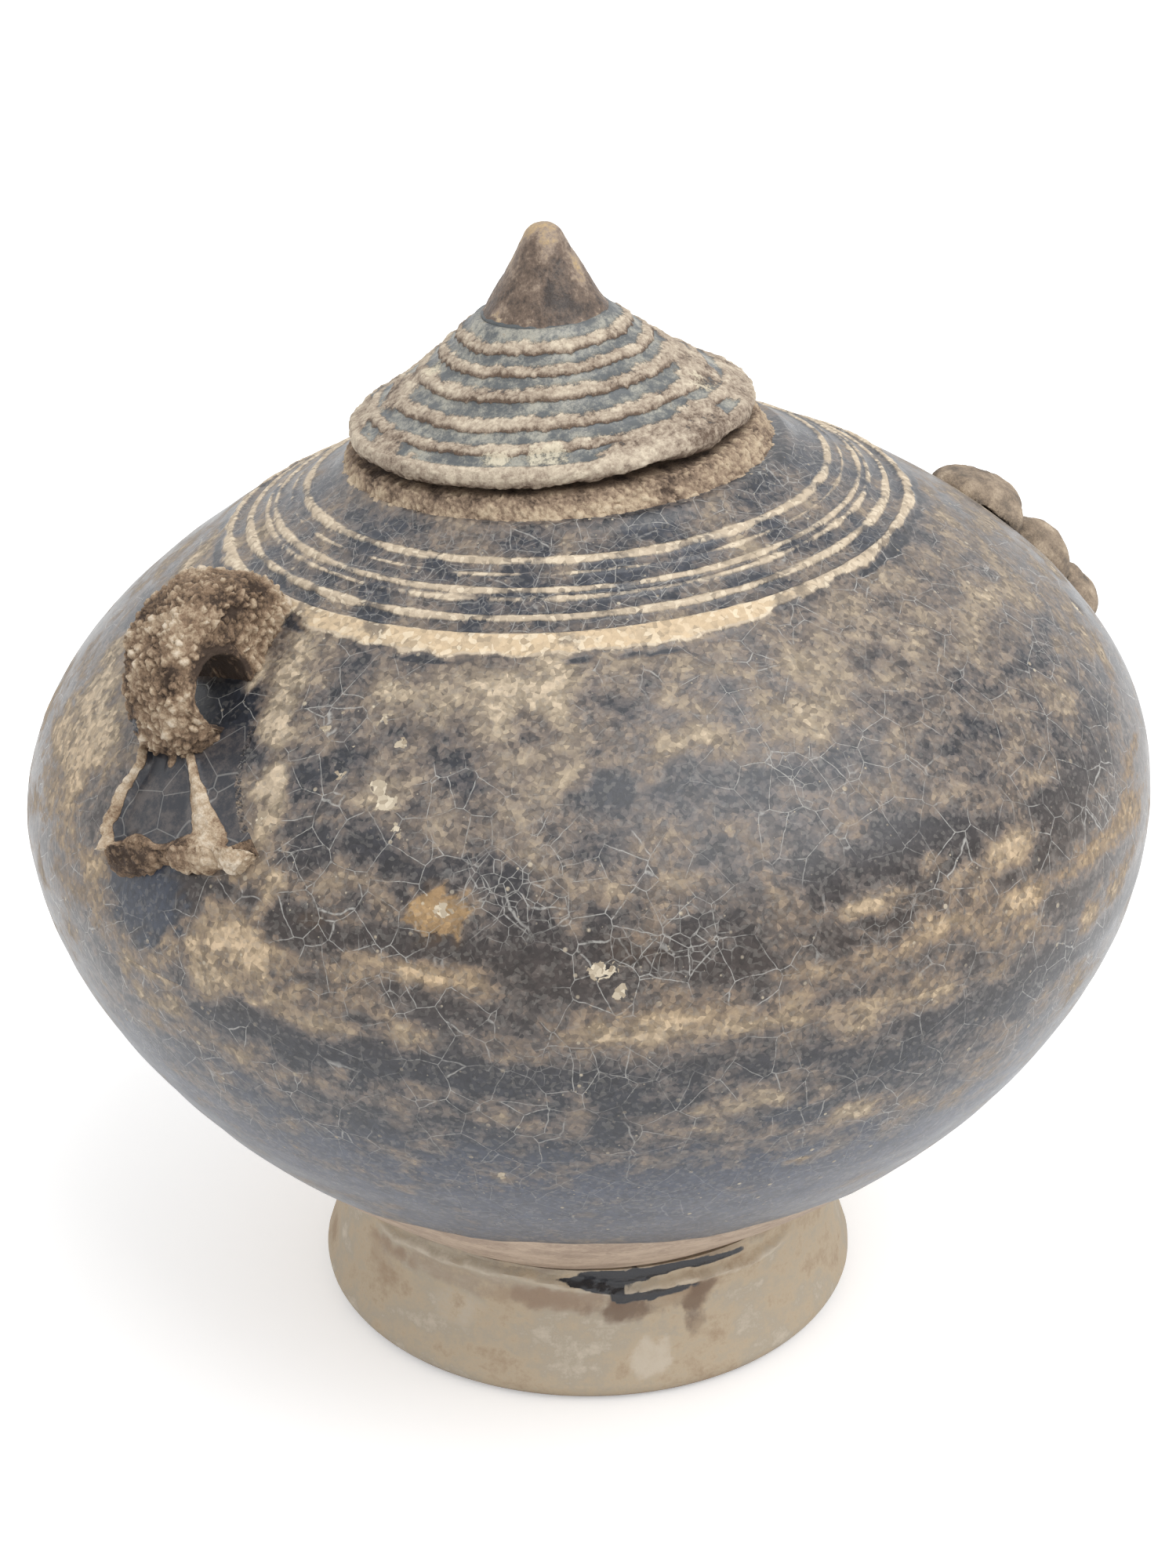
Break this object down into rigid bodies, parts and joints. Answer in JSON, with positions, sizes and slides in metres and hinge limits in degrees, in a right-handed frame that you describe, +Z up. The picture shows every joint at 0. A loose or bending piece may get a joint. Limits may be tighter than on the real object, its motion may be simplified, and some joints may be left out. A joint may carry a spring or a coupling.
{
  "type": "zoomorphic lime pot",
  "caption": "Squat footed stoneware lime pot with a pierced animal head and a lobed tail on its shoulder, and a loose conical lid that lifts off.",
  "frame": {"origin": "middle of the foot's flat resting face", "axes": "+Z up; the pierced head is on -X, the tail near +X; the upper half and the lid lean a few degrees towards -X +Y"},
  "size_m": [0.1126, 0.11, 0.1121],
  "materials": {
    "dark_glaze": "satin dark brown glaze",
    "worn_glaze": "worn brown glaze over tan clay",
    "bare_clay": "matt unglazed clay"
  },
  "bodies": {
    "pot": {"bowl": "dark_glaze", "shoulder": "dark_glaze", "foot": "bare_clay", "mouth_collar": "worn_glaze", "head_lug": "worn_glaze", "trunk": "dark_glaze", "trunk_roll": "worn_glaze", "tail_root": "worn_glaze", "tail_middle": "worn_glaze", "tail_tip": "worn_glaze"},
    "lid": {"lid": "worn_glaze", "lid_knob": "worn_glaze", "lid_flange": "bare_clay"}
  },
  "joints": [
    {"name": "lid_lift", "type": "slide", "parent": "pot", "child": "lid", "axis": [-0.0687, 0.0537, 0.9962], "range_m": [0, 0.06]}
  ]
}
